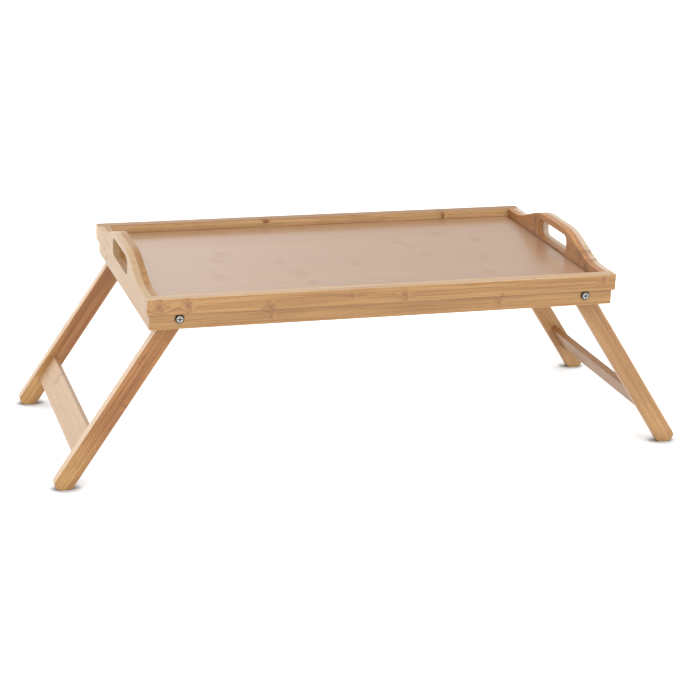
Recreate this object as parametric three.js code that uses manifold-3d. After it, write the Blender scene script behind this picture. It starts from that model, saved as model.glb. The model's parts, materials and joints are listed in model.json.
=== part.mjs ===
// Folding tray table: a bamboo tray with two end handles, on two leg frames that fold flat under it.
// Units are millimetres, +Z is up, the floor is z = 0 and the tray is centred on x = y = 0.
import * as THREE from 'three';
import { mergeVertices } from 'three/addons/utils/BufferGeometryUtils.js';
import Module from 'manifold-3d';

const wasm = await Module();
wasm.setup();

// ---------- driving dimensions ----------
const GAP = 0.3;                  // clearance between neighbouring pieces
const TRAY_LENGTH = 500;
const TRAY_WIDTH = 290;
const RIM_Z = 200;                // top of the long rails
const UPPER_BAND = 17;            // proud upper band of the outer face
const LOWER_BAND = 15.7;          // set-back lower band
const BAND_STEP = 2.8;            // how far the lower band is set back, at the sides and the ends
const RAIL_THICKNESS = 12;
const END_THICKNESS = 13.5;

const HANDLE_RISE = 20.5;         // handle crown above the rim
const CROWN_HALF = 25;            // half length of the level crown
const SHOULDER_HALF = 112;        // where the handle's flank meets the rim
const GRIP_HALF_LENGTH = 41;
const GRIP_HALF_HEIGHT = 10;
const GRIP_CORNER = 8;
const GRIP_Z = 203.5;

const PANEL_TOP_Z = 191.3;
const PANEL_THICKNESS = 3;
const REBATE_DEPTH = 1;           // the panel's edge is thinner on top
const GROOVE_DEPTH = 4;

const LEG_WIDTH = 20;
const LEG_THICKNESS = 10;
const PIVOT_INSET = 33;           // pivot axis from the tray's end
const PIVOT_Z = 178;
const LEG_OFFSET = 1.6;           // room for a washer between rail and leg
const TOE_RADIUS = 7.5;           // outer corner of the foot
const HEEL_RADIUS = 4.5;          // inner corner of the foot

const BAR_WIDTH = 30;
const BAR_THICKNESS = 6.5;
const BAR_CENTRE = 164.6;         // crossbar centre below the pivot, along the leg

const SCREW_RADIUS = 2.5;
const SCREW_LENGTH = 30;
const HEAD_RADIUS = 4.75;
const HEAD_HEIGHT = 2.75;
const HEAD_FLAT = 0.5;             // share of the head's radius that is flat on top
const HEAD_LIP = 0.5;              // straight side of the head below its dome
const RECESS_LENGTH = 5;           // cross recess in the screw head
const RECESS_WIDTH = 1.1;
const RECESS_DEPTH = 1.5;
const WASHER_RADIUS = 5;
const WASHER_THICKNESS = 1;
const NUT_ACROSS_FLATS = 8;
const NUT_HEIGHT = 5;

const CORNER_DOWEL = { radius: 2.85, inRail: 7, inPanel: 13, x: 242.5, heights: [175.5, 195.5] };
const BAR_DOWEL = { radius: 1.7, inLeg: 7, inBar: 11, spacing: 16 };

// ---------- derived places ----------
const halfLength = TRAY_LENGTH / 2;
const halfWidth = TRAY_WIDTH / 2;
const stepZ = RIM_Z - UPPER_BAND;
const apronZ = stepZ - LOWER_BAND;
const railInnerY = halfWidth - RAIL_THICKNESS;
const endInnerX = halfLength - END_THICKNESS;
const panelUnderZ = PANEL_TOP_Z - PANEL_THICKNESS;
const grooveLowZ = panelUnderZ - GAP;
const grooveHighZ = PANEL_TOP_Z - REBATE_DEPTH + GAP;
const pivotX = halfLength - PIVOT_INSET;
const legOuterY = railInnerY - LEG_OFFSET;
const legInnerY = legOuterY - LEG_THICKNESS;
const boreRadius = SCREW_RADIUS + GAP;
const legHalf = LEG_WIDTH / 2;

// The open leg leans its outer face on the lower inner edge of the end panel.
const stopX = endInnerX - pivotX;
const stopDrop = PIVOT_Z - apronZ;
const splay = Math.atan2(stopX, stopDrop)
  - Math.asin((legHalf + GAP) / Math.hypot(stopX, stopDrop));

// ---------- materials ----------
const bamboo = (color) => new THREE.MeshStandardMaterial({ color, roughness: 0.5, metalness: 0 });
const railBamboo = bamboo(0xcfa06a);
const handleBamboo = bamboo(0xc99466);
const panelBamboo = bamboo(0xcdb39e);
const legBamboo = bamboo(0xc08a5a);
const dowelWood = bamboo(0xd9bf94);
const steel = new THREE.MeshStandardMaterial({ color: 0xb9bbbd, roughness: 0.25, metalness: 1 });

// ---------- geometry helpers ----------
function toManifold(geometry) {
  const bare = geometry.clone();
  bare.deleteAttribute('normal');
  bare.deleteAttribute('uv');
  const welded = mergeVertices(bare, 1e-5);
  const vertProperties = new Float32Array(welded.attributes.position.array);
  const triVerts = new Uint32Array(welded.index.array);
  return new wasm.Manifold(new wasm.Mesh({ numProp: 3, vertProperties, triVerts }));
}

function toGeometry(solid) {
  const mesh = solid.getMesh();
  const geometry = new THREE.BufferGeometry();
  geometry.setAttribute('position', new THREE.BufferAttribute(new Float32Array(mesh.vertProperties), 3));
  geometry.setIndex(new THREE.BufferAttribute(new Uint32Array(mesh.triVerts), 1));
  geometry.computeVertexNormals();
  return geometry;
}

function cut(geometry, cutters) {
  let solid = toManifold(geometry);
  for (const cutter of cutters) solid = solid.subtract(toManifold(cutter));
  return toGeometry(solid);
}

function box(low, high) {
  const size = high.map((value, i) => value - low[i]);
  const geometry = new THREE.BoxGeometry(...size);
  return geometry.translate(...low.map((value, i) => value + size[i] / 2));
}

// A cylinder along Y between two y values.
function yCylinder(radius, x, z, yLow, yHigh, segments = 24) {
  const geometry = new THREE.CylinderGeometry(radius, radius, yHigh - yLow, segments);
  return geometry.translate(x, (yLow + yHigh) / 2, z);
}

function extrude(shape, depth, curveSegments = 8) {
  return new THREE.ExtrudeGeometry(shape, { depth, bevelEnabled: false, curveSegments });
}

// Extrudes a shape drawn in (y, z) along X.
function alongX(shape, xLow, xHigh, curveSegments) {
  const geometry = extrude(shape, xHigh - xLow, curveSegments);
  geometry.applyMatrix4(new THREE.Matrix4().makeBasis(
    new THREE.Vector3(0, 1, 0), new THREE.Vector3(0, 0, 1), new THREE.Vector3(1, 0, 0)));
  return geometry.translate(xLow, 0, 0);
}

// Extrudes a shape drawn in (x, z) along Y.
function alongY(shape, yLow, yHigh, curveSegments) {
  const geometry = extrude(shape, yHigh - yLow, curveSegments);
  geometry.applyMatrix4(new THREE.Matrix4().makeBasis(
    new THREE.Vector3(1, 0, 0), new THREE.Vector3(0, 0, 1), new THREE.Vector3(0, -1, 0)));
  return geometry.translate(0, yHigh, 0);
}

function polygon(points) {
  return new THREE.Shape(points.map(([a, b]) => new THREE.Vector2(a, b)));
}

// The point where a round corner of this radius touches the line from `corner` towards `other`.
function tangentPoint(corner, other, distance) {
  return corner.clone().add(other.clone().sub(corner).setLength(distance));
}

// The points of a round corner, from the `before` side to the `after` side.
function roundCorner(before, corner, after, radius, steps = 6) {
  const toBefore = before.clone().sub(corner).normalize();
  const toAfter = after.clone().sub(corner).normalize();
  const half = Math.acos(toBefore.dot(toAfter)) / 2;
  const start = tangentPoint(corner, before, radius / Math.tan(half));
  const end = tangentPoint(corner, after, radius / Math.tan(half));
  const middle = toBefore.add(toAfter).normalize();
  const centre = corner.clone().addScaledVector(middle, radius / Math.sin(half));
  const from = start.sub(centre);
  const turn = Math.atan2(from.cross(end.clone().sub(centre)), from.dot(end.clone().sub(centre)));
  const points = [];
  for (let i = 0; i <= steps; i += 1) {
    points.push(from.clone().rotateAround(new THREE.Vector2(), turn * i / steps).add(centre));
  }
  return points;
}

const root = new THREE.Group();

function add(name, geometry, material, parent = root) {
  const mesh = new THREE.Mesh(geometry, material);
  mesh.name = name;
  parent.add(mesh);
  return mesh;
}

// The four corners of the tray: side is -1 at the left end, front is -1 at the front.
const corners = [];
for (const [sideName, side] of [['left', -1], ['right', 1]]) {
  for (const [rowName, row] of [['front', -1], ['back', 1]]) {
    corners.push({ name: `${sideName}_${rowName}`, side, row });
  }
}

// A y range given from the tray's centre outwards, for either row.
function yRange(row, inner, outer) {
  return row < 0 ? [-outer, -inner] : [inner, outer];
}

// An x range given from the tray's centre outwards, for either side.
function xRange(side, inner, outer) {
  return side < 0 ? [-outer, -inner] : [inner, outer];
}

// Sets the lower band back at one end of the tray, across its whole width.
function endStepCutter(side) {
  const [lowX, highX] = xRange(side, halfLength - BAND_STEP, halfLength + 1);
  return box([lowX, -halfWidth - 1, apronZ - 1], [highX, halfWidth + 1, stepZ]);
}

// ---------- long rails ----------
// The section is a board with its lower band set back. The groove for the tray panel stops
// inside the joint with each end panel, so it never shows at the rail's end.
function railGeometry(row) {
  const section = polygon([
    [row * railInnerY, RIM_Z],
    [row * halfWidth, RIM_Z],
    [row * halfWidth, stepZ],
    [row * (halfWidth - BAND_STEP), stepZ],
    [row * (halfWidth - BAND_STEP), apronZ],
    [row * railInnerY, apronZ],
  ]);
  const board = alongX(section, -halfLength, halfLength);
  const grooveX = endInnerX + GROOVE_DEPTH;
  const [grooveLowY, grooveHighY] = yRange(row, railInnerY - 1, railInnerY + GROOVE_DEPTH);
  const cutters = [box([-grooveX, grooveLowY, grooveLowZ], [grooveX, grooveHighY, grooveHighZ])];
  for (const side of [-1, 1]) {
    cutters.push(endStepCutter(side));
    cutters.push(yCylinder(boreRadius, side * pivotX, PIVOT_Z,
      ...yRange(row, railInnerY - 1, halfWidth + 1)));
    for (const z of CORNER_DOWEL.heights) {
      cutters.push(yCylinder(CORNER_DOWEL.radius + GAP, side * CORNER_DOWEL.x, z,
        ...yRange(row, railInnerY - 1, railInnerY + CORNER_DOWEL.inRail)));
    }
  }
  return cut(board, cutters);
}

add('front_rail', railGeometry(-1), railBamboo);
add('back_rail', railGeometry(1), railBamboo);

// ---------- end panels with handles ----------
function handleHeight(y) {
  const distance = Math.abs(y);
  if (distance <= CROWN_HALF) return HANDLE_RISE;
  if (distance >= SHOULDER_HALF) return 0;
  const t = (distance - CROWN_HALF) / (SHOULDER_HALF - CROWN_HALF);
  return HANDLE_RISE * (1 + Math.cos(Math.PI * t)) / 2;
}

function handleOutline() {
  const half = railInnerY - GAP;
  const flankSteps = 20;
  const points = [[-half, apronZ], [half, apronZ], [half, RIM_Z]];
  for (let i = 0; i <= flankSteps; i += 1) {
    const y = SHOULDER_HALF + (CROWN_HALF - SHOULDER_HALF) * i / flankSteps;
    points.push([y, RIM_Z + handleHeight(y)]);
  }
  for (let i = flankSteps; i >= 0; i -= 1) {
    const y = -SHOULDER_HALF - (CROWN_HALF - SHOULDER_HALF) * i / flankSteps;
    points.push([y, RIM_Z + handleHeight(y)]);
  }
  points.push([-half, RIM_Z]);
  return polygon(points);
}

function gripOutline() {
  const a = GRIP_HALF_LENGTH - GRIP_CORNER;
  const b = GRIP_HALF_HEIGHT - GRIP_CORNER;
  const shape = new THREE.Shape();
  shape.absarc(a, GRIP_Z - b, GRIP_CORNER, -Math.PI / 2, 0);
  shape.absarc(a, GRIP_Z + b, GRIP_CORNER, 0, Math.PI / 2);
  shape.absarc(-a, GRIP_Z + b, GRIP_CORNER, Math.PI / 2, Math.PI);
  shape.absarc(-a, GRIP_Z - b, GRIP_CORNER, Math.PI, Math.PI * 1.5);
  return shape;
}

function handlePanelGeometry(side) {
  const board = alongX(handleOutline(), ...xRange(side, endInnerX, halfLength));
  const [grooveLowX, grooveHighX] = xRange(side, endInnerX - 1, endInnerX + GROOVE_DEPTH);
  const cutters = [
    endStepCutter(side),
    box([grooveLowX, -halfWidth, grooveLowZ], [grooveHighX, halfWidth, grooveHighZ]),
    alongX(gripOutline(), ...xRange(side, endInnerX - 1, halfLength + 1), 6),
  ];
  for (const row of [-1, 1]) {
    for (const z of CORNER_DOWEL.heights) {
      cutters.push(yCylinder(CORNER_DOWEL.radius + GAP, side * CORNER_DOWEL.x, z,
        ...yRange(row, railInnerY - CORNER_DOWEL.inPanel, railInnerY + 1)));
    }
  }
  return cut(board, cutters);
}

add('left_handle_panel', handlePanelGeometry(-1), handleBamboo);
add('right_handle_panel', handlePanelGeometry(1), handleBamboo);

for (const { name, side, row } of corners) {
  CORNER_DOWEL.heights.forEach((z, i) => {
    const span = yRange(row, railInnerY - CORNER_DOWEL.inPanel + GAP, railInnerY + CORNER_DOWEL.inRail - GAP);
    const dowel = yCylinder(CORNER_DOWEL.radius, side * CORNER_DOWEL.x, z, ...span, 16);
    add(`${name}_corner_dowel_${i + 1}`, dowel, dowelWood);
  });
}

// ---------- tray panel ----------
// Its top edge is rebated all round: the thin lip sits in the grooves.
function trayPanelGeometry() {
  const lip = GROOVE_DEPTH - GAP;
  const sheet = box(
    [-endInnerX - lip, -railInnerY - lip, panelUnderZ],
    [endInnerX + lip, railInnerY + lip, PANEL_TOP_Z]);
  const faceX = endInnerX - GAP;
  const faceY = railInnerY - GAP;
  const outerX = endInnerX + GROOVE_DEPTH;
  const outerY = railInnerY + GROOVE_DEPTH;
  const lipTop = PANEL_TOP_Z - REBATE_DEPTH;
  const above = PANEL_TOP_Z + 1;
  const cutters = [];
  for (const sign of [-1, 1]) {
    const [xLow, xHigh] = xRange(sign, faceX, outerX);
    cutters.push(box([xLow, -outerY, lipTop], [xHigh, outerY, above]));
    const [yLow, yHigh] = yRange(sign, faceY, outerY);
    cutters.push(box([-outerX, yLow, lipTop], [outerX, yHigh, above]));
  }
  return cut(sheet, cutters);
}

add('tray_panel', trayPanelGeometry(), panelBamboo);

// ---------- leg frames ----------
// Each frame is a group at its pivot, turned out by the splay angle. In the group a leg hangs
// straight down: the pivot is the origin and `side` points to the tray's end.
const pivotToFloor = (offset) => (PIVOT_Z + offset * Math.sin(splay)) / Math.cos(splay);

function legOutline(side) {
  const outer = side * legHalf;
  const toe = new THREE.Vector2(outer, -pivotToFloor(legHalf));
  const heel = new THREE.Vector2(-outer, -pivotToFloor(-legHalf));
  const topOuter = new THREE.Vector2(outer, 0);
  const topInner = new THREE.Vector2(-outer, 0);
  const headSteps = 16;
  const points = [];
  for (let i = 0; i <= headSteps; i += 1) {
    const angle = Math.PI * i / headSteps;
    points.push(new THREE.Vector2(-outer * Math.cos(angle), legHalf * Math.sin(angle)));
  }
  points.push(...roundCorner(topOuter, toe, heel, TOE_RADIUS));
  points.push(...roundCorner(toe, heel, topInner, HEEL_RADIUS));
  return new THREE.Shape(points);
}

const barDowelOffsets = [BAR_CENTRE - BAR_DOWEL.spacing / 2, BAR_CENTRE + BAR_DOWEL.spacing / 2];

function legGeometry(side, row) {
  const blank = alongY(legOutline(side), ...yRange(row, legInnerY, legOuterY));
  const cutters = [yCylinder(boreRadius, 0, 0, ...yRange(row, legInnerY - 1, legOuterY + 1))];
  for (const drop of barDowelOffsets) {
    cutters.push(yCylinder(BAR_DOWEL.radius + GAP, 0, -drop,
      ...yRange(row, legInnerY - 1, legInnerY + BAR_DOWEL.inLeg)));
  }
  return cut(blank, cutters);
}

function crossbarGeometry() {
  const end = legInnerY - GAP;
  const blank = box(
    [-BAR_THICKNESS / 2, -end, -BAR_CENTRE - BAR_WIDTH / 2],
    [BAR_THICKNESS / 2, end, -BAR_CENTRE + BAR_WIDTH / 2]);
  const cutters = [];
  for (const row of [-1, 1]) {
    for (const drop of barDowelOffsets) {
      cutters.push(yCylinder(BAR_DOWEL.radius + GAP, 0, -drop,
        ...yRange(row, legInnerY - BAR_DOWEL.inBar, legInnerY + 1)));
    }
  }
  return cut(blank, cutters);
}

for (const [sideName, side] of [['left', -1], ['right', 1]]) {
  const frame = new THREE.Group();
  frame.position.set(side * pivotX, 0, PIVOT_Z);
  frame.rotation.y = -side * splay;
  root.add(frame);
  add(`${sideName}_crossbar`, crossbarGeometry(), legBamboo, frame);
  for (const [rowName, row] of [['front', -1], ['back', 1]]) {
    const corner = `${sideName}_${rowName}`;
    add(`${corner}_leg`, legGeometry(side, row), legBamboo, frame);
    barDowelOffsets.forEach((drop, i) => {
      const span = yRange(row, legInnerY - BAR_DOWEL.inBar + GAP, legInnerY + BAR_DOWEL.inLeg - GAP);
      const dowel = yCylinder(BAR_DOWEL.radius, 0, -drop, ...span, 16);
      add(`${corner}_bar_dowel_${i + 1}`, dowel, dowelWood, frame);
    });
  }
}

// ---------- pivot hardware ----------
// Every piece is turned about +Y of its own group, which points from the tray's middle outwards.
function lathe(profile, segments = 32) {
  return new THREE.LatheGeometry(profile.map(([r, y]) => new THREE.Vector2(r, y)), segments);
}

function screwGeometry() {
  const headBase = halfWidth - BAND_STEP + GAP;
  const profile = [[0, headBase - SCREW_LENGTH], [SCREW_RADIUS, headBase - SCREW_LENGTH]];
  profile.push([SCREW_RADIUS, headBase], [HEAD_RADIUS, headBase]);
  const domeSteps = 6;
  const flatRadius = HEAD_RADIUS * HEAD_FLAT;
  for (let i = 0; i <= domeSteps; i += 1) {
    const angle = Math.PI / 2 * i / domeSteps;
    const r = flatRadius + (HEAD_RADIUS - flatRadius) * Math.cos(angle);
    profile.push([r, headBase + HEAD_LIP + (HEAD_HEIGHT - HEAD_LIP) * Math.sin(angle)]);
  }
  profile.push([0, headBase + HEAD_HEIGHT]);
  const arm = RECESS_LENGTH / 2;
  const side = RECESS_WIDTH / 2;
  const floor = headBase + HEAD_HEIGHT - RECESS_DEPTH;
  const top = headBase + HEAD_HEIGHT + 1;
  return cut(lathe(profile), [
    box([-arm, floor, -side], [arm, top, side]),
    box([-side, floor, -arm], [side, top, arm]),
  ]);
}

// A hexagonal prism on the Y axis, standing on y = 0.
function hexPrism(acrossFlats, height) {
  const radius = acrossFlats / Math.sqrt(3);
  return new THREE.CylinderGeometry(radius, radius, height, 6).translate(0, height / 2, 0);
}

function washerGeometry(base) {
  const top = base + WASHER_THICKNESS;
  return lathe([[boreRadius, base], [WASHER_RADIUS, base], [WASHER_RADIUS, top],
    [boreRadius, top], [boreRadius, base]], 24);
}

function nutGeometry(base) {
  const hole = new THREE.CylinderGeometry(boreRadius, boreRadius, NUT_HEIGHT + 2, 24);
  hole.translate(0, base + NUT_HEIGHT / 2, 0);
  return cut(hexPrism(NUT_ACROSS_FLATS, NUT_HEIGHT).translate(0, base, 0), [hole]);
}

const outerWasherBase = legOuterY + (LEG_OFFSET - WASHER_THICKNESS) / 2;
const innerWasherBase = legInnerY - GAP - WASHER_THICKNESS;
const nutBase = innerWasherBase - GAP - NUT_HEIGHT;

for (const { name, side, row } of corners) {
  const hardware = new THREE.Group();
  hardware.position.set(side * pivotX, 0, PIVOT_Z);
  hardware.rotation.z = row < 0 ? Math.PI : 0;
  root.add(hardware);
  add(`${name}_pivot_screw`, screwGeometry(), steel, hardware);
  add(`${name}_outer_washer`, washerGeometry(outerWasherBase), steel, hardware);
  add(`${name}_inner_washer`, washerGeometry(innerWasherBase), steel, hardware);
  add(`${name}_pivot_nut`, nutGeometry(nutBase), steel, hardware);
}

export default root;
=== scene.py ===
"""Folding tray table in lacquered bamboo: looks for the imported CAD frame.

Every bamboo piece is a copy of its CAD node with eased edges and a grain frame of its own.
The grain frame is stored on the vertices as an attribute, in metres: along the fibres,
across the strips and through the board. One procedural bamboo material reads it.
"""
import json
import math

import bmesh
import bpy
from mathutils import Matrix, Vector


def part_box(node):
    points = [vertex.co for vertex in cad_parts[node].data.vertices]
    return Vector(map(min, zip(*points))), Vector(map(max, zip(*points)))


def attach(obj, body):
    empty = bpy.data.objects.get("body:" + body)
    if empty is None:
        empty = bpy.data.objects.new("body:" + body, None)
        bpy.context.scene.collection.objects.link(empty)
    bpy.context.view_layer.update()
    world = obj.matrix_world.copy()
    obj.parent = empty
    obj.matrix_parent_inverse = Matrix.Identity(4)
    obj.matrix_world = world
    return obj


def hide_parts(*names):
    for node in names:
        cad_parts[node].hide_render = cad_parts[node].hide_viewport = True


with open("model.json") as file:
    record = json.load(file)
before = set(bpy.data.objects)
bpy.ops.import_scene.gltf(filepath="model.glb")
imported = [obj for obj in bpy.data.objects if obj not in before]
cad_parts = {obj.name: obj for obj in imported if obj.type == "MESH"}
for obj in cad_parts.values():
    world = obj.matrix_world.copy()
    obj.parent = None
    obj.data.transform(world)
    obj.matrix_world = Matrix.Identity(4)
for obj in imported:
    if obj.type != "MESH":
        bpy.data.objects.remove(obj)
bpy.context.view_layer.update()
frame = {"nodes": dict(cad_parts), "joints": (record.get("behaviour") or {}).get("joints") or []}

MM = 0.001
CORNERS = [f"{side}_{row}" for side in ("left", "right") for row in ("front", "back")]

# The legs stand out from the vertical by the part of their fold that is past a quarter turn.
FOLD_RANGE = frame["joints"][0]["range_deg"][1]
SPLAY = math.radians(FOLD_RANGE - 90)

X_AXIS = Vector((1, 0, 0))
Y_AXIS = Vector((0, 1, 0))
Z_AXIS = Vector((0, 0, 1))


def rgb(red, green, blue):
    return (red, green, blue, 1.0)


def leg_pivot(side):
    """A point on the axis that this side's leg frame folds about."""
    joint = next(j for j in frame["joints"] if j["child"] == f"{side}_leg_frame")
    return Vector(joint["pos_m"])


# ---------- shader building ----------

class Tree:
    """Short calls for building a node tree."""

    def __init__(self, tree):
        self.tree = tree

    def node(self, kind, **settings):
        made = self.tree.nodes.new(kind)
        for key, value in settings.items():
            setattr(made, key, value)
        return made

    def plug(self, socket, value):
        if isinstance(value, bpy.types.NodeSocket):
            self.tree.links.new(value, socket)
        else:
            socket.default_value = value

    def math(self, operation, *values):
        made = self.node("ShaderNodeMath", operation=operation)
        for socket, value in zip(made.inputs, values):
            self.plug(socket, value)
        return made.outputs[0]

    def add(self, a, b):
        return self.math("ADD", a, b)

    def minus(self, a, b):
        return self.math("SUBTRACT", a, b)

    def times(self, a, b):
        return self.math("MULTIPLY", a, b)

    def over(self, a, b):
        return self.math("DIVIDE", a, b)

    def larger(self, a, b):
        return self.math("MAXIMUM", a, b)

    def size(self, a):
        return self.math("ABSOLUTE", a)

    def rest(self, share):
        """What is left of 1."""
        return self.math("SUBTRACT", 1.0, share)

    def is_above(self, a, b):
        return self.math("GREATER_THAN", a, b)

    def is_below(self, a, b):
        return self.math("LESS_THAN", a, b)

    def vector(self, x, y, z):
        made = self.node("ShaderNodeCombineXYZ")
        for socket, value in zip(made.inputs, (x, y, z)):
            self.plug(socket, value)
        return made.outputs[0]

    def split(self, vector):
        made = self.node("ShaderNodeSeparateXYZ")
        self.plug(made.inputs[0], vector)
        return made.outputs

    def attribute(self, name):
        """The three parts of a vector that is stored on the vertices."""
        return self.split(self.node("ShaderNodeAttribute", attribute_name=name).outputs["Vector"])

    def noise(self, vector, detail=2.0, roughness=0.5):
        made = self.node("ShaderNodeTexNoise")
        self.plug(made.inputs["Vector"], vector)
        made.inputs["Scale"].default_value = 1.0
        made.inputs["Detail"].default_value = detail
        made.inputs["Roughness"].default_value = roughness
        return made.outputs["Fac"]

    def random(self, vector):
        """Three random numbers from 0 to 1 for each value of the vector."""
        made = self.node("ShaderNodeTexWhiteNoise", noise_dimensions="3D")
        self.plug(made.inputs["Vector"], vector)
        split = self.node("ShaderNodeSeparateColor")
        self.plug(split.inputs[0], made.outputs["Color"])
        return split.outputs

    def ramp(self, value, low, high):
        """0 at low, 1 at high, smooth and clamped between them."""
        made = self.node("ShaderNodeMapRange", interpolation_type="SMOOTHSTEP")
        for socket, number in zip(made.inputs, (value, low, high, 0.0, 1.0)):
            self.plug(socket, number)
        return made.outputs[0]

    def mix(self, share, a, b):
        """The colour a, with this share of b."""
        made = self.node("ShaderNodeMix", data_type="RGBA")
        for socket, value in zip((made.inputs[0], made.inputs[6], made.inputs[7]), (share, a, b)):
            self.plug(socket, value)
        return made.outputs[2]


def new_material(name):
    material = bpy.data.materials.new(name)
    material.use_nodes = True
    return material, Tree(material.node_tree), material.node_tree.nodes["Principled BSDF"]


# ---------- camera ----------

# The place of the camera was fitted to the corners of the tray, the screws and the feet.
CAMERA_AZIMUTH = math.radians(-17.42)
CAMERA_ELEVATION = math.radians(18.58)
CAMERA_ROLL = math.radians(2.08)
CAMERA_DISTANCE = 2.13988
CAMERA_TARGET = Vector((0.00093, 0.0, 0.08831))
CAMERA_LENS = 101.2
CAMERA_SENSOR = 36


def make_camera():
    a, e, r = CAMERA_AZIMUTH, CAMERA_ELEVATION, CAMERA_ROLL
    forward = Vector((-math.sin(a) * math.cos(e), math.cos(a) * math.cos(e), -math.sin(e)))
    level = Vector((math.cos(a), math.sin(a), 0))
    upright = level.cross(forward)
    right = level * math.cos(r) + upright * math.sin(r)
    up = upright * math.cos(r) - level * math.sin(r)
    turn = Matrix((right, up, -forward)).transposed()
    data = bpy.data.cameras.new("camera")
    data.lens = CAMERA_LENS
    data.sensor_width = CAMERA_SENSOR
    data.clip_start = 0.05
    data.clip_end = 60
    camera = bpy.data.objects.new("camera", data)
    bpy.context.scene.collection.objects.link(camera)
    place = CAMERA_TARGET - forward * CAMERA_DISTANCE
    camera.matrix_world = Matrix.Translation(place) @ turn.to_4x4()
    bpy.context.scene.camera = camera


# ---------- light and floor ----------

HORIZON_STRENGTH = 1.0
OVERHEAD_STRENGTH = 0.74
OVERHEAD_START = 0.3      # the height of a direction, of 1, from which it counts as overhead
SKY_LOBES = [             # (direction, extra strength, spread in degrees)
    ((-0.45, 0.9, 0.05), 1.7, 50),
    ((0.35, 0.9, 0.35), 0.1, 45),
]

FLOOR_REACH = 40
# Painted contact shadows on the glowing floor, from ambient occlusion: (how far they reach, how dark
# they are)
FLOOR_PAINTED_SHADOWS = ((35 * MM, 2.0), (9 * MM, 2.5))


def make_sky():
    """A white studio that is brightest low down behind the table, towards the left. It meets
    the floor in white at the horizon and is a little greyer overhead."""
    world = bpy.data.worlds.new("studio")
    bpy.context.scene.world = world
    world.use_nodes = True
    t = Tree(world.node_tree)
    direction = t.node("ShaderNodeTexCoord").outputs["Generated"]
    overhead = t.ramp(t.split(direction)["Z"], 0.0, OVERHEAD_START)
    strength = t.add(t.times(overhead, OVERHEAD_STRENGTH - HORIZON_STRENGTH), HORIZON_STRENGTH)
    for lobe_direction, extra, spread in SKY_LOBES:
        facing = t.node("ShaderNodeVectorMath", operation="DOT_PRODUCT")
        t.plug(facing.inputs[0], direction)
        facing.inputs[1].default_value = Vector(lobe_direction).normalized()
        lobe = t.ramp(facing.outputs["Value"], math.cos(math.radians(spread)), 1.0)
        strength = t.add(t.times(lobe, extra), strength)
    background = world.node_tree.nodes["Background"]
    background.inputs["Color"].default_value = rgb(1, 1, 1)
    t.plug(background.inputs["Strength"], strength)


def make_sun(name, azimuth, elevation, strength, softness):
    """A soft lamp whose light comes from this azimuth (0 is -Y, 90 is +X) and elevation."""
    data = bpy.data.lights.new(name, "SUN")
    data.energy = strength
    data.angle = math.radians(softness)
    lamp = bpy.data.objects.new(name, data)
    bpy.context.scene.collection.objects.link(lamp)
    a, e = math.radians(azimuth), math.radians(elevation)
    source = Vector((math.sin(a) * math.cos(e), -math.cos(a) * math.cos(e), math.sin(e)))
    lamp.rotation_mode = "QUATERNION"
    lamp.rotation_quaternion = source.to_track_quat("Z", "Y")


def make_floor():
    """A white floor that glows evenly, with painted contact shadows: its glow is darkened by ambient
    occlusion where something touches it.
    """
    mesh = bpy.data.meshes.new("floor")
    low, high = -FLOOR_REACH, FLOOR_REACH
    corners = [(low, low, 0), (high, low, 0), (high, high, 0), (low, high, 0)]
    mesh.from_pydata(corners, [], [(0, 1, 2, 3)])
    floor = bpy.data.objects.new("floor", mesh)
    bpy.context.scene.collection.objects.link(floor)
    material, t, shader = new_material("pale_floor")
    unshadowed_share = 1.0
    for distance, power in FLOOR_PAINTED_SHADOWS:
        contact_occlusion = t.node("ShaderNodeAmbientOcclusion", samples=12)
        contact_occlusion.inputs["Distance"].default_value = distance
        # painted shadow: the glow falls where the ambient occlusion finds something close
        unshadowed_share = t.times(unshadowed_share, t.math("POWER", contact_occlusion.outputs["AO"], power))
    shader.inputs["Base Color"].default_value = rgb(0.4, 0.4, 0.4)
    shader.inputs["Roughness"].default_value = 0.9
    shader.inputs["Specular IOR Level"].default_value = 0.0
    shader.inputs["Emission Color"].default_value = rgb(1, 1, 1)
    t.plug(shader.inputs["Emission Strength"], unshadowed_share)
    mesh.materials.append(material)


def make_studio():
    make_sky()
    make_sun("key", azimuth=-8, elevation=40, strength=0.95, softness=70)
    make_sun("top", azimuth=60, elevation=75, strength=1.3, softness=60)
    make_floor()
    bpy.context.scene.view_settings.view_transform = "Standard"


# ---------- bamboo ----------

STAIN = rgb(0.29, 0.125, 0.042)
KNOT_DARK = rgb(0.16, 0.062, 0.022)

STRIP_DRIFT = 7.0         # spread of the noise between one strip and another
NODE_SPACING = 260 * MM   # between the nodes of a strip
NODE_SHIFT = 3.7          # spread of the nodes between one strip and another, in spacings
NODE_WOBBLE = 9 * MM      # how crooked a node is
WOBBLE_RATE = 210         # per metre, across the fibres and through the board
FIBRE_BEND = 7 * MM       # how far the fibres waver at a node
CALM_BEND = 0.12          # share of that bend away from a node
SWIRL_RATES = (210, 300)  # per metre, along the fibres and across them
KNOT_REACH = 1.6          # a knot's node shows to this many half heights across the fibres
KNOT_RAGGEDNESS = 2.2     # how far a knot's outline strays, in sizes of the knot

# Streaks drawn out along the fibres: (rate along them, rate across them, detail), rates per metre
FIBRES = (12, 1500, 2)
LINES = (9, 620, 2)
BANDS = (5, 190, 2)
CLOUDS = (16, 55, 3)
FLECKS = (55, 1100, 1)


def knot_distance(t, along, across, knots):
    """Signed distance along the fibres to the nearest of these knots, each given as
    (place along, place across, half length, half height)."""
    nearest = None
    for place, level, _, half_height in knots:
        # a knot that is too far across the fibres counts as a metre away
        elsewhere = t.is_above(t.size(t.add(across, -level)), KNOT_REACH * half_height)
        away = t.add(t.add(along, -place), elsewhere)
        if nearest:
            closer = t.is_below(t.size(away), t.size(nearest))
            away = t.add(nearest, t.times(closer, t.minus(away, nearest)))
        nearest = away
    return nearest


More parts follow.
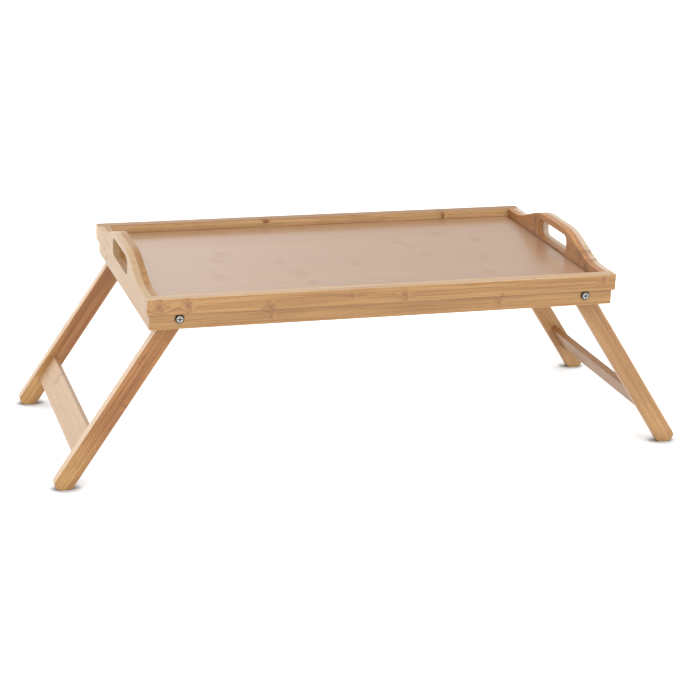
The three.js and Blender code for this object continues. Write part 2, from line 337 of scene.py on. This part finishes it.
def knot_marks(t, along, across, knots, ragged):
    """(marks, side): marks is 1 in the heart of a knot and falls to 0 over its ragged oval
    outline. side is across, turned into rings round each knot, so that fibres flow round it.
    The rings are whole to half the knot's size and gone at one and a half times its size."""
    marks = 0.0
    side = across
    for place, level, half_length, half_height in knots:
        x = t.over(t.add(along, -place), half_length)
        y = t.over(t.add(across, -level), half_height)
        radius = t.math("SQRT", t.add(t.times(x, x), t.times(y, y)))
        close = t.rest(t.ramp(radius, 0.5, 1.5))
        ring = t.add(t.times(radius, half_height), level)
        side = t.add(side, t.times(close, t.minus(ring, across)))
        radius = t.add(radius, t.times(t.minus(ragged, 0.5), KNOT_RAGGEDNESS))
        marks = t.larger(marks, t.rest(t.ramp(radius, 0.2, 1.15)))
    return marks, side


class Grain:
    """What the wood does at each place of a piece: its strips, nodes, knots and streaks.

    shade, shift and stain are three random numbers for each laminated strip, and drift moves
    the noise of one strip away from the next. halo, core and beside are the stain round a node,
    its dark line and the pale band next to it. swirl is the unrest of the fibres, and marks
    is 1 in the heart of a knot. side and depth are across and through, bent with the fibres."""

    def __init__(self, t, strip, ply, seed, knots):
        self.t = t
        self.along, self.across, self.through = t.attribute("grain")
        column = t.math("FLOOR", t.over(self.across, strip))
        layer = t.math("FLOOR", t.over(self.through, ply))
        self.shade, self.shift, self.stain = t.random(t.vector(column, layer, seed))[:3]
        self.drift = t.add(t.times(self.shift, STRIP_DRIFT), seed)
        self.find_nodes(knots)
        self.bend_fibres(knots)
        self.fibres, self.lines, self.bands, self.clouds, self.flecks = (
            self.streaks(*rates) for rates in (FIBRES, LINES, BANDS, CLOUDS, FLECKS))

    def find_nodes(self, knots):
        """A node crosses the strip at each knot, or at even distances if there are none."""
        t = self.t
        if knots:
            away = knot_distance(t, self.along, self.across, knots)
        else:
            phase = t.add(t.over(self.along, NODE_SPACING), t.times(self.shift, NODE_SHIFT))
            away = t.times(t.minus(t.math("FRACT", phase), 0.5), NODE_SPACING)
        crooked = t.vector(self.drift, t.times(self.across, WOBBLE_RATE),
                           t.times(self.through, WOBBLE_RATE))
        away = t.add(away, t.times(t.minus(t.noise(crooked), 0.5), NODE_WOBBLE))
        reach = t.size(away)
        self.halo = t.rest(t.ramp(reach, 1.0 * MM, 9.5 * MM))
        self.core = t.rest(t.ramp(reach, 0.6 * MM, 2.6 * MM))
        self.beside = t.times(t.ramp(away, 0.0, 3 * MM), t.rest(t.ramp(away, 3 * MM, 8 * MM)))

    def bend_fibres(self, knots):
        """Fibres run along the strip, waver at a node and flow round a knot."""
        t = self.t
        along_rate, across_rate = SWIRL_RATES
        uneven = t.vector(t.times(self.along, along_rate), t.times(self.across, across_rate),
                          self.drift)
        self.swirl = t.noise(uneven, detail=3, roughness=0.6)
        bend = t.times(t.minus(self.swirl, 0.5), t.add(self.halo, CALM_BEND))
        bend = t.times(bend, FIBRE_BEND)
        if knots:
            self.marks, side = knot_marks(t, self.along, self.across, knots, self.swirl)
        else:
            self.marks, side = t.times(self.halo, t.ramp(self.stain, 0.3, 0.9)), self.across
        self.side = t.add(side, bend)
        self.depth = t.add(self.through, bend)

    def streaks(self, along_rate, across_rate, detail):
        t = self.t
        drawn_out = t.vector(t.add(t.times(self.along, along_rate), self.drift),
                             t.times(self.side, across_rate), t.times(self.depth, across_rate))
        return t.noise(drawn_out, detail=detail, roughness=0.6)


def fibre_colour(grain, pale, deep, tint, contrast):
    """Streaks from pale to deep, a shade for each strip, then stains, dark lines and flecks."""
    t = grain.t
    streaky = 0.0
    # each kind of streak is pale below the first value and deep above the second
    for streak, pale_at, deep_at, weight in ((grain.fibres, 0.35, 0.68, 0.22),
                                             (grain.lines, 0.36, 0.66, 0.43),
                                             (grain.bands, 0.38, 0.64, 0.35)):
        streaky = t.add(streaky, t.times(t.ramp(streak, pale_at, deep_at), weight))
    colour = t.mix(t.times(streaky, contrast), pale, deep)
    colour = t.mix(t.times(grain.shade, tint), colour, deep)
    stained = t.ramp(grain.clouds, 0.52, 0.78)
    colour = t.mix(t.times(stained, 0.28 * contrast), colour, STAIN)
    dark_lines = t.times(t.ramp(grain.lines, 0.6, 0.72), t.ramp(grain.clouds, 0.4, 0.6))
    colour = t.mix(t.times(dark_lines, 0.4 * contrast), colour, STAIN)
    flecks = t.ramp(grain.flecks, 0.62, 0.76)
    return t.mix(t.times(flecks, 0.3 * contrast), colour, KNOT_DARK)


def knot_colour(grain, colour, pale, marks, knot_strength, node_strength):
    """Adds the stain, the dark heart of a knot, and the dark line and pale band of a node."""
    t = grain.t
    patchy = t.ramp(grain.swirl, 0.36, 0.62)
    smudge = t.times(t.times(grain.halo, t.add(t.times(patchy, 0.85), 0.15)), node_strength)
    smudge = t.larger(smudge, t.times(marks, 0.8 * knot_strength))
    colour = t.mix(smudge, colour, STAIN)
    heart = t.times(t.ramp(marks, 0.5, 1.0), t.ramp(grain.swirl, 0.4, 0.6))
    colour = t.mix(t.times(heart, 0.45 * knot_strength), colour, KNOT_DARK)
    broken = t.times(grain.core, t.ramp(grain.swirl, 0.42, 0.58))
    broken = t.times(broken, t.times(t.add(grain.stain, 0.6), 0.4 * knot_strength))
    colour = t.mix(broken, colour, KNOT_DARK)
    return t.mix(t.times(grain.beside, t.times(patchy, 0.3 * knot_strength)), colour, pale)


def strip_glue(grain, strip):
    """1 on the glue line between two strips."""
    t = grain.t
    from_middle = t.size(t.minus(t.math("FRACT", t.over(grain.across, strip)), 0.5))
    return t.ramp(from_middle, 0.5 - 0.5 * MM / strip, 0.5)


def ply_glue(grain, ply):
    """1 on the glue line between the inner ply and the next."""
    t = grain.t
    return t.rest(t.ramp(t.size(t.minus(grain.through, ply)), 0.2 * MM, 0.7 * MM))


def painted_edge_shadow(grain, half_length, half_width):
    """1 at the edges of a panel of this half size: a painted shadow where the panel meets the frame
    round it.
    """
    t = grain.t
    from_end = t.minus(half_length, t.size(grain.along))
    from_side = t.minus(half_width, t.size(grain.across))
    return t.rest(t.ramp(t.math("MINIMUM", from_end, from_side), 0.8 * MM, 4.2 * MM))


def lacquer(grain, shader, roughness, coat, coat_roughness):
    """A satin finish that sinks a little into the lines of the grain."""
    t = grain.t
    worn = t.add(t.times(t.minus(grain.fibres, 0.5), 0.12), roughness)
    t.plug(shader.inputs["Roughness"], t.add(worn, t.times(grain.halo, 0.05)))
    shader.inputs["IOR"].default_value = 1.5
    shader.inputs["Coat Weight"].default_value = coat
    shader.inputs["Coat Roughness"].default_value = coat_roughness
    bump = t.node("ShaderNodeBump")
    bump.inputs["Strength"].default_value = 0.15
    bump.inputs["Distance"].default_value = 0.4 * MM
    t.plug(bump.inputs["Height"], t.add(t.times(grain.lines, 0.6), t.times(grain.core, 0.4)))
    t.plug(shader.inputs["Normal"], bump.outputs[0])


def bamboo(name, pale, deep, strip=20 * MM, ply=20 * MM, seed=0.0, tint=0.3, contrast=1.0,
           knots=None, knot_strength=1.0, painted_light_drift=None, outer=None, painted_light_from=None,
           seam=0.3, ply_seam=0.4, shadow_border=None, roughness=0.42, coat=0.0, coat_roughness=0.2):
    """Lacquered laminated bamboo, read from the piece's grain frame.

    pale and deep are the colours between which the fibres vary, and tint is how much deeper
    one strip may be than another. strip and ply are the width and thickness of a strip.
    knots are laid out as for knot_distance. Without them there are only nodes.
    painted_light_drift is (direction, pale, deep, start, end): other shades that the wood takes
    between two places in this direction of the grain frame. They stand partly for painted light: more
    or less light falling on that part of the piece.
    outer is (pale, deep) for the wood beyond the first ply, or beyond painted_light_from if it is
    given;
    on the legs that outer shade is painted light.
    seam, ply_seam and shadow_border are the dark lines: the strength of the glue between strips and
    between plies, and the half size of a panel with a painted shadow round its edges."""
    material, t, shader = new_material(name)
    grain = Grain(t, strip, ply, seed, knots)
    marks = grain.marks
    # painted light: a shade that changes with the place on the piece, for the light that falls there
    if painted_light_drift:
        direction, far_pale, far_deep, start, end = painted_light_drift
        share = t.ramp({"along": grain.along, "across": grain.across}[direction], start, end)
        pale = t.mix(share, pale, far_pale)
        deep = t.mix(share, deep, far_deep)
    # on the legs, the outer shade is painted light on their outer side and edges
    if outer:
        beyond = t.is_above(grain.through, painted_light_from or ply)
        pale = t.mix(beyond, pale, outer[0])
        deep = t.mix(beyond, deep, outer[1])
        marks = t.times(marks, t.rest(t.times(beyond, 0.5)))
    colour = fibre_colour(grain, pale, deep, tint, contrast)
    node_strength = (0.45 if knots else 0.6) * knot_strength
    colour = knot_colour(grain, colour, pale, marks, knot_strength, node_strength)
    glue = t.times(strip_glue(grain, strip), seam)
    if outer:
        glue = t.larger(glue, t.times(ply_glue(grain, ply), ply_seam))
    # painted shadow round the panel's edges, where it meets the frame
    if shadow_border:
        glue = t.larger(glue, t.times(painted_edge_shadow(grain, *shadow_border), 0.85))
    t.plug(shader.inputs["Base Color"], t.mix(glue, colour, KNOT_DARK))
    lacquer(grain, shader, roughness, coat, coat_roughness)
    return material


# ---------- pieces ----------

WELD_DISTANCE = 0.001 * MM
FLAT_ANGLE = math.radians(1)       # faces that turn by less than this become one face
SHARP_ANGLE = math.radians(35)     # an edge whose faces turn by more than this is rounded
CREASE_ANGLE = math.radians(40)    # an edge whose faces turn by more than this isn't shaded smooth


def keep_flat_faces_flat(piece):
    piece.data.shade_smooth()
    piece.data.set_sharp_from_angle(angle=CREASE_ANGLE)
    normals = piece.modifiers.new("flat_faces", "WEIGHTED_NORMAL")
    normals.keep_sharp = True


def round_edges(bm, edges, radius, segments):
    bmesh.ops.bevel(bm, geom=edges, offset=radius, segments=segments, profile=0.5,
                    affect="EDGES", clamp_overlap=True)


def eased_copy(node, radius, segments=3, soft_edge=None, soft_radius=0.0):
    """A copy of a CAD node with its sharp edges rounded. soft_edge(middle of an edge) picks
    the edges that are rounded by soft_radius instead."""
    bm = bmesh.new()
    bm.from_mesh(frame["nodes"][node].data)
    bmesh.ops.remove_doubles(bm, verts=bm.verts, dist=WELD_DISTANCE)
    bmesh.ops.dissolve_limit(bm, angle_limit=FLAT_ANGLE, verts=bm.verts, edges=bm.edges)

    def is_sharp(edge):
        return len(edge.link_faces) == 2 and edge.calc_face_angle(0) > SHARP_ANGLE

    def is_soft(edge):
        return bool(soft_edge) and soft_edge((edge.verts[0].co + edge.verts[1].co) / 2)

    if soft_edge:
        soft = [edge for edge in bm.edges if is_sharp(edge) and is_soft(edge)]
        round_edges(bm, soft, soft_radius, segments=4)
    hard = [edge for edge in bm.edges if is_sharp(edge) and not is_soft(edge)]
    round_edges(bm, hard, radius, segments)
    made = bpy.data.meshes.new(f"{node}_eased")
    bm.to_mesh(made)
    bm.free()
    piece = bpy.data.objects.new(f"{node}_eased", made)
    bpy.context.scene.collection.objects.link(piece)
    keep_flat_faces_flat(piece)
    return piece


def store_grain(piece, origin, along, across, through):
    """Writes the grain frame on the vertices: metres along, across and through from origin."""
    layer = piece.data.attributes.new("grain", "FLOAT_VECTOR", "POINT")
    for vertex, value in zip(piece.data.vertices, layer.data):
        away = vertex.co - origin
        value.vector = (away.dot(along), away.dot(across), away.dot(through))


def finish_piece(piece, node, body, material):
    piece.data.materials.clear()
    piece.data.materials.append(material)
    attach(piece, body)
    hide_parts(node)


def in_metres(knots):
    """Knots are written in millimetres: (place along, place across, half length, half height)."""
    return [tuple(value * MM for value in knot) for knot in knots]


# Each wood is the colour of its pale fibres and of its deep ones.
GOLDEN = (rgb(0.487, 0.275, 0.093), rgb(0.263, 0.12, 0.031))
# painted light: the front rail's top face is paler, partly its own cut of the strips and partly the
# light that falls on it from above
FRONT_TOP_PAINTED_LIGHT = (rgb(0.90, 0.62, 0.32), rgb(0.58, 0.37, 0.17))
# painted light: the back rail is paler than the front rail, to make up for the shade on its inner face
# inside the tray
BACK_GOLDEN_PAINTED_LIGHT = (rgb(0.72, 0.465, 0.24), rgb(0.435, 0.245, 0.10))
# the back rail's top face is deeper than the rest of that rail: it does not carry the painted light of
# the inner face
BACK_RIM = (rgb(0.58, 0.345, 0.125), rgb(0.34, 0.17, 0.05))
# painted shade: the left panel's inner ply is a darker copy of the golden wood, to hold back the light
# that falls on its flank from above
FLANK_GOLDEN_PAINTED_SHADE = (rgb(0.43, 0.235, 0.075), rgb(0.24, 0.105, 0.027))
AMBER = (rgb(0.525, 0.255, 0.083), rgb(0.29, 0.105, 0.028))
# The outer plies of the handle panels are paler than the inner ones: partly their own tone, partly
# painted light for the pale sheen of the left panel's outer face and the lit top of the right handle.
CREAM = (rgb(0.56, 0.43, 0.31), rgb(0.48, 0.35, 0.235))
PALE_GOLDEN = (rgb(0.485, 0.33, 0.19), rgb(0.40, 0.25, 0.125))
# painted light and highlight: a leg's outer side and the edge beside it, paler as if lit from the side
LEG_OUTER_PAINTED_LIGHT = (rgb(0.60, 0.43, 0.28), rgb(0.50, 0.33, 0.19))
LEFT_LEG = (rgb(0.43, 0.20, 0.06), rgb(0.205, 0.068, 0.016))
# painted light: the left legs are paler at the foot, as lit from the floor
LEFT_FOOT_PAINTED_LIGHT = (rgb(0.58, 0.355, 0.125), rgb(0.285, 0.13, 0.038))
RIGHT_LEG = (rgb(0.46, 0.265, 0.11), rgb(0.27, 0.13, 0.044))
# painted light: the right legs are paler at the foot, as lit from the floor
RIGHT_FOOT_PAINTED_LIGHT = (rgb(0.51, 0.30, 0.12), rgb(0.30, 0.148, 0.05))
# painted light: the left crossbar is much paler than the right one, as its outer face is lit from the
# left
LEFT_BAR_PAINTED_LIGHT = (rgb(0.445, 0.28, 0.15), rgb(0.35, 0.195, 0.09))
RIGHT_BAR = (rgb(0.27, 0.13, 0.04), rgb(0.17, 0.07, 0.016))
TRAY_WOOD = (rgb(0.348, 0.20, 0.103), rgb(0.266, 0.138, 0.063))
DOWEL_WOOD = (rgb(0.66, 0.46, 0.25), rgb(0.5, 0.32, 0.15))


# ---------- rails ----------

RAIL_EDGE = 0.9 * MM
RAIL_STEP = 183 * MM                        # height of the step in a rail's outer face
RAIL_STRIP = 17.1 * MM                      # a rail is one strip above its step and one below
RIM_START, RIM_END = 16.2 * MM, 16.8 * MM   # above the step: the top face has another shade, partly its own cut of the strips and partly painted light from above

FRONT_KNOTS = [
    (-208, 9, 6, 5),
    (-236, 8, 10, 5.5),
    (-125, 3, 9, 4),
    (-122, -4, 6, 4),
    (-38, 10, 16, 2),
    (18, 8, 9, 4.5),
    (124, -1, 5, 3),
    (122, -7, 4, 4),
    (238, 12, 9, 3),
]
BACK_KNOTS = [(-58, 14, 5, 3), (155, 11, 4, 5)]


def make_rails():
    # the top face of each rail takes its own shade above RIM_START: partly its own tone, partly
    # painted light
    rails = (("front_rail", GOLDEN, FRONT_TOP_PAINTED_LIGHT, FRONT_KNOTS, 3.0, 0.3),
             ("back_rail", BACK_GOLDEN_PAINTED_LIGHT, BACK_RIM, BACK_KNOTS, 8.0, 0.0))
    for node, wood, rim, knots, seed, coat in rails:
        # seam=0.6 darkens the glue lines of the rails; at the step that line is partly painted shadow
        # under the overhang of the upper band
        material = bamboo(f"{node}_bamboo", *wood, strip=RAIL_STRIP, seed=seed, contrast=1.15,
                          knots=in_metres(knots), knot_strength=1.25, seam=0.6,
                          painted_light_drift=("across", *rim, RIM_START, RIM_END),
                          coat=coat, coat_roughness=0.25)
        piece = eased_copy(node, RAIL_EDGE)
        store_grain(piece, Vector((0, 0, RAIL_STEP)), X_AXIS, Z_AXIS, Y_AXIS)
        finish_piece(piece, node, "tray", material)


# ---------- handle panels ----------

PANEL_EDGE = 1.3 * MM
PANEL_STRIP = 21.5 * MM
PANEL_PLY = 6.75 * MM
GRIP_EDGE = 1.8 * MM
# The box round the grip slot in which edges are rounder
GRIP_HEIGHT = 203.5 * MM
GRIP_HALF_LENGTH = 45 * MM
GRIP_HALF_HEIGHT = 10.8 * MM

LEFT_PANEL_KNOTS = [(95, 12, 6, 5)]
RIGHT_PANEL_KNOTS = [(-78, 36, 12, 7), (-95, 28, 12, 5), (50, 40, 8, 9)]


def is_by_the_grip(middle):
    return abs(middle.y) < GRIP_HALF_LENGTH and abs(middle.z - GRIP_HEIGHT) < GRIP_HALF_HEIGHT


def make_handle_panels():
    sides = (("left", -1, FLANK_GOLDEN_PAINTED_SHADE, PALE_GOLDEN, 0.08, LEFT_PANEL_KNOTS),
             ("right", 1, AMBER, CREAM, 0.6, RIGHT_PANEL_KNOTS))
    for side, sign, inner_wood, outer_wood, ply_seam, knots in sides:
        node = f"{side}_handle_panel"
        material = bamboo(f"{node}_bamboo", *inner_wood, strip=PANEL_STRIP, ply=PANEL_PLY,
                          seed=11.0 + sign, tint=0.4, knots=in_metres(knots), knot_strength=1.2,
                          outer=outer_wood, seam=0.15, ply_seam=ply_seam)
        piece = eased_copy(node, PANEL_EDGE, soft_edge=is_by_the_grip, soft_radius=GRIP_EDGE)
        low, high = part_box(node)
        inner = high[0] if sign < 0 else low[0]
        store_grain(piece, Vector((inner, 0, low[2])), Y_AXIS, Z_AXIS, X_AXIS * sign)
        finish_piece(piece, node, "tray", material)


# ---------- tray panel ----------

TRAY_EDGE = 0.25 * MM
TRAY_STRIP = 20.5 * MM
TRAY_WELL = (236.2 * MM, 132.7 * MM)     # half length and half width that show inside the frame
UNDER_TRAY = 180 * MM                    # less than a ply below the panel, so it is all one ply

TRAY_KNOTS = [
    (-135, 30, 10, 7),
    (-145, 5, 8, 6),
    (-80, -10, 13, 6),
    (-70, -55, 13, 11),
    (-155, -55, 10, 7),
    (-65, -90, 9, 6),
    (-20, 120, 10, 8),
    (0, -25, 9, 7),
    (70, 45, 12, 6),
    (80, 30, 14, 6),
    (85, -10, 11, 6),
    (125, 70, 10, 7),
    (160, 40, 9, 8),
    (145, -30, 9, 7),
    (130, -80, 10, 7),
]


def make_tray_panel():
    # the tray panel gets a painted shadow round its edges, inside the frame
    material = bamboo("tray_panel_bamboo", *TRAY_WOOD, strip=TRAY_STRIP, seed=21.0, tint=0.25,
                      contrast=0.5, knots=in_metres(TRAY_KNOTS), knot_strength=0.4, seam=0.12,
                      shadow_border=TRAY_WELL, roughness=0.38, coat=0.6, coat_roughness=0.2)
    piece = eased_copy("tray_panel", TRAY_EDGE, segments=2)
    store_grain(piece, Vector((0, 0, UNDER_TRAY)), X_AXIS, Y_AXIS, Z_AXIS)
    finish_piece(piece, "tray_panel", "tray", material)


# ---------- leg frames ----------

LEG_EDGE = 1.0 * MM
LEG_HALF_DEPTH = 10 * MM
LEG_STRIP = 5.2 * MM
LEG_PLY = 6.7 * MM
LEG_PAINTED_LIGHT_FROM = 19.1 * MM                        # beyond this, the outer edge of a leg is painted paler: light on its outer side and a highlight along its edges
FOOT_START, FOOT_END = 120 * MM, 200 * MM   # from the pivot: between these, a leg is painted paler towards its foot, for the light the floor throws on it

BAR_EDGE = 1.5 * MM
BAR_STRIP = 15.1 * MM
BAR_REACH = 164.6 * MM                      # from the pivot down to the crossbar


def make_leg(side, row, seed, wood, foot_painted_light, down, outward):
    node = f"{side}_{row}_leg"
    # the leg's outer edge and its foot are painted paler: painted light from the side and from the
    # floor
    material = bamboo(f"{node}_bamboo", *wood, strip=LEG_STRIP, ply=LEG_PLY, seed=seed, tint=0.5,
                      contrast=1.25, knot_strength=0.35, outer=LEG_OUTER_PAINTED_LIGHT, painted_light_from=LEG_PAINTED_LIGHT_FROM,
                      painted_light_drift=("along", *foot_painted_light, FOOT_START, FOOT_END),
                      seam=0.1, ply_seam=0.0)
    piece = eased_copy(node, LEG_EDGE)
    origin = leg_pivot(side) - outward * LEG_HALF_DEPTH
    store_grain(piece, origin, down, Y_AXIS, outward)
    finish_piece(piece, node, f"{side}_leg_frame", material)


def make_crossbar(side, seed, wood, down, outward):
    node = f"{side}_crossbar"
    material = bamboo(f"{node}_bamboo", *wood, strip=BAR_STRIP, seed=seed, tint=0.2,
                      contrast=0.6, knot_strength=0.35, seam=0.1)
    piece = eased_copy(node, BAR_EDGE)
    store_grain(piece, leg_pivot(side) + down * BAR_REACH, Y_AXIS, down, outward)
    finish_piece(piece, node, f"{side}_leg_frame", material)


def make_leg_frames():
    sides = (("left", -1, LEFT_LEG, LEFT_FOOT_PAINTED_LIGHT, LEFT_BAR_PAINTED_LIGHT),
             ("right", 1, RIGHT_LEG, RIGHT_FOOT_PAINTED_LIGHT, RIGHT_BAR))
    for side, sign, leg_wood, foot_painted_light, bar_wood in sides:
        down = Vector((sign * math.sin(SPLAY), 0, -math.cos(SPLAY)))
        outward = Vector((sign * math.cos(SPLAY), 0, math.sin(SPLAY)))
        for row, row_seed in (("front", 41.0), ("back", 39.0)):
            make_leg(side, row, row_seed + sign, leg_wood, foot_painted_light, down, outward)
        make_crossbar(side, 51.0 + sign, bar_wood, down, outward)


# ---------- hardware ----------

# Each part's name and the radius of its eased edges, in millimetres
HARDWARE = (("pivot_screw", 0.12), ("outer_washer", 0.15), ("inner_washer", 0.15), ("pivot_nut", 0.25))

HEAD_DEPTH = 3.5 * MM       # from the face of a screw's head: nothing deeper is head
RECESS_RADIUS = 2.6 * MM
NOT_A_HEAD = 1.0            # the depth stored on parts that have no head
WEAR_RATE = 900             # per metre, of the fine unevenness of the plating


def steel():
    """Bright plated steel, with painted shade in the cross recess and a painted shadow ring round the
    rim of a screw head.
    """
    material, t, shader = new_material("nickel_plated_steel")
    radius, depth = t.attribute("turned")[:2]
    on_head = t.is_below(depth, HEAD_DEPTH)
    # painted shadow: a dark ring round the rim of the head, and painted shade deep in the cross recess
    rim = t.times(t.ramp(radius, 2.8 * MM, 3.7 * MM), on_head)
    recess = t.times(t.ramp(depth, 0.2 * MM, 0.8 * MM), t.is_below(radius, RECESS_RADIUS))
    dark = t.larger(rim, t.times(recess, on_head))
    fine = t.node("ShaderNodeMapping")
    fine.inputs["Scale"].default_value = (WEAR_RATE, WEAR_RATE, WEAR_RATE)
    t.plug(fine.inputs["Vector"], t.node("ShaderNodeTexCoord").outputs["Object"])
    wear = t.noise(fine.outputs[0], detail=3)
    bright = t.mix(wear, rgb(0.30, 0.30, 0.30), rgb(0.52, 0.52, 0.51))
    t.plug(shader.inputs["Base Color"], t.mix(dark, bright, rgb(0.07, 0.06, 0.05)))
    shader.inputs["Metallic"].default_value = 1.0
    t.plug(shader.inputs["Roughness"], t.add(t.times(wear, 0.2), 0.16))
    return material


def store_turned(piece, side, has_head):
    """Writes the distance from the pivot axis and the depth below the screw head's face."""
    pivot = leg_pivot(side)
    face = max(abs(vertex.co.y) for vertex in piece.data.vertices)
    layer = piece.data.attributes.new("turned", "FLOAT_VECTOR", "POINT")
    for vertex, value in zip(piece.data.vertices, layer.data):
        radius = math.hypot(vertex.co.x - pivot.x, vertex.co.z - pivot.z)
        depth = face - abs(vertex.co.y) if has_head else NOT_A_HEAD
        value.vector = (radius, depth, 0)


def make_hardware():
    material = steel()
    for corner in CORNERS:
        side = corner.split("_")[0]
        for part, radius in HARDWARE:
            node = f"{corner}_{part}"
            piece = eased_copy(node, radius * MM, segments=2)
            store_turned(piece, side, has_head=part == "pivot_screw")
            finish_piece(piece, node, "tray", material)


# ---------- dowels ----------

def make_dowels():
    """The dowels are hidden in the joints: they keep their CAD shape and get plain turned wood."""
    material = bamboo("dowel_wood", *DOWEL_WOOD, strip=50 * MM)
    for name, node in frame["nodes"].items():
        if "_dowel_" in name:
            node.data.materials.clear()
            node.data.materials.append(material)


make_camera()
make_studio()
make_rails()
make_handle_panels()
make_tray_panel()
make_leg_frames()
make_hardware()
make_dowels()
